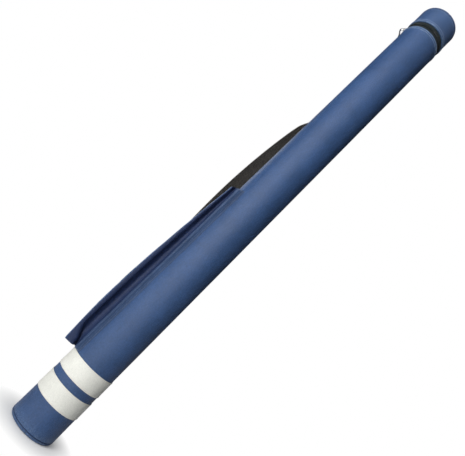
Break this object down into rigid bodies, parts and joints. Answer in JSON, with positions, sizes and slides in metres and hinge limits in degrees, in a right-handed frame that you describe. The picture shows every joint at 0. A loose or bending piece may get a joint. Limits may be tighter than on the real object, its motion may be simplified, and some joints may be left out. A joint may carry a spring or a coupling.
{
  "type": "telescope carry case",
  "caption": "Long padded tube case for a telescope, with a zipped hinged lid, a bellows side pocket, contrasting bands and a webbing carrying strap.",
  "frame": {"origin": "centre of the flat base, on the tube's axis", "axes": "+Z along the tube towards the lid, -Y the front, -X the side with the pocket"},
  "size_m": [0.1326, 0.1323, 1.3],
  "materials": {
    "leather_blue": "navy blue grained artificial leather, satin",
    "leather_dark": "dark navy artificial leather, satin",
    "leather_white": "off-white artificial leather, matt",
    "padding_foam": "closed-cell foam padding",
    "tube_board": "rigid plastic tube wall",
    "lining_fleece": "short-pile fleece lining",
    "binding_tape": "woven binding tape",
    "webbing_black": "flat woven webbing",
    "zip_tape": "woven zip tape",
    "zip_coil": "nylon coil",
    "slider_enamel": "black enamelled die-cast slider",
    "steel_wire": "plated steel"
  },
  "bodies": {
    "case": {"base_panel": "leather_blue", "base_piping": "leather_dark", "base_disc": "tube_board", "base_foam_pad": "padding_foam", "base_lining_disc": "lining_fleece", "body_sleeve": "leather_blue", "body_padding": "padding_foam", "body_tube": "tube_board", "body_lining": "lining_fleece", "mouth_binding": "binding_tape", "stripe_lower": "leather_white", "stripe_upper": "leather_white", "zip_tape_lower": "zip_tape", "hinge_leaf_lower": "leather_dark", "zip_coil_lower": "zip_coil", "zip_stop_near": "steel_wire", "zip_stop_far": "steel_wire", "pocket_flange_front": "leather_blue", "pocket_flange_rear": "leather_blue", "pocket_gusset_front": "leather_dark", "pocket_gusset_rear": "leather_dark", "pocket_panel": "leather_blue", "pocket_floor": "leather_dark", "pocket_hem": "leather_blue", "strap_tail_upper": "webbing_black", "strap_tail_lower": "webbing_black"},
    "lid": {"lid_cover": "leather_blue", "lid_end_panel": "leather_blue", "lid_piping": "leather_dark", "lid_disc": "tube_board", "lid_tube": "tube_board", "lid_padding": "padding_foam", "lid_foam_pad": "padding_foam", "lid_lining_disc": "lining_fleece", "lid_lining": "lining_fleece", "lid_mouth_binding": "binding_tape", "zip_tape_upper": "zip_tape", "hinge_leaf_upper": "leather_dark", "zip_coil_upper": "zip_coil"},
    "slider": {"zip_slider": "slider_enamel", "slider_bail": "slider_enamel"},
    "pull": {"pull_ring": "steel_wire", "pull_tab": "leather_dark"},
    "strap": {"strap_span": "webbing_black"}
  },
  "joints": [
    {"name": "lid_hinge", "type": "hinge", "parent": "case", "child": "lid", "pos_m": [-0.03415, 0.03415, 1.227], "axis": [-0.7071, -0.7071, 0], "range_deg": [0, 135]},
    {"name": "zip_travel", "type": "hinge", "parent": "case", "child": "slider", "pos_m": [0, 0, 1.227], "axis": [0, 0, 1], "range_deg": [0, 288]},
    {"name": "pull_swing", "type": "hinge", "parent": "slider", "child": "pull", "pos_m": [-0.05377, 0.00948, 1.227], "axis": [0.1736, 0.9848, 0], "range_deg": [0, 90]},
    {"name": "strap_swing", "type": "hinge", "parent": "case", "child": "strap", "pos_m": [-0.03535, 0.03535, 0.598], "axis": [0, 0, 1], "range_deg": [-15, 15], "stiffness_Nm_per_rad": 0.4}
  ]
}
